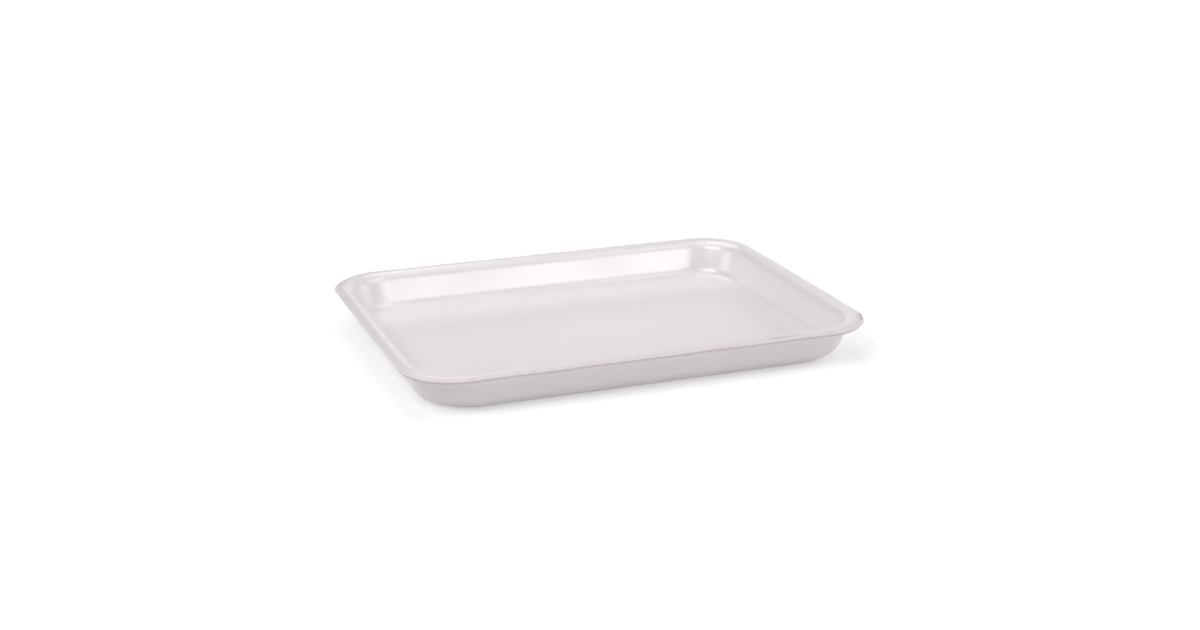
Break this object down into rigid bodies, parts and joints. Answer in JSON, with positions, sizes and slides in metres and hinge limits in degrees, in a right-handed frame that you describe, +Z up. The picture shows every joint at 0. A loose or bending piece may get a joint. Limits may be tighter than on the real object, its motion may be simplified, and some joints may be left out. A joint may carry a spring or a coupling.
{
  "type": "foam meat tray",
  "caption": "Shallow rectangular tray thermoformed from one foam sheet, with rounded corners, leaning walls, a rounded foot and a flat trimmed rim, for holding fresh food under film.",
  "frame": {"origin": "centre of the flat underside, which rests on the table", "axes": "+X along the long side, +Y along the short side, +Z up out of the open top"},
  "size_m": [0.2218, 0.1658, 0.02],
  "materials": {
    "foam_skin": "off-white expanded polystyrene sheet with a soft satin skin from the hot mould"
  },
  "bodies": {
    "root": {"tray": "foam_skin"}
  },
  "joints": []
}
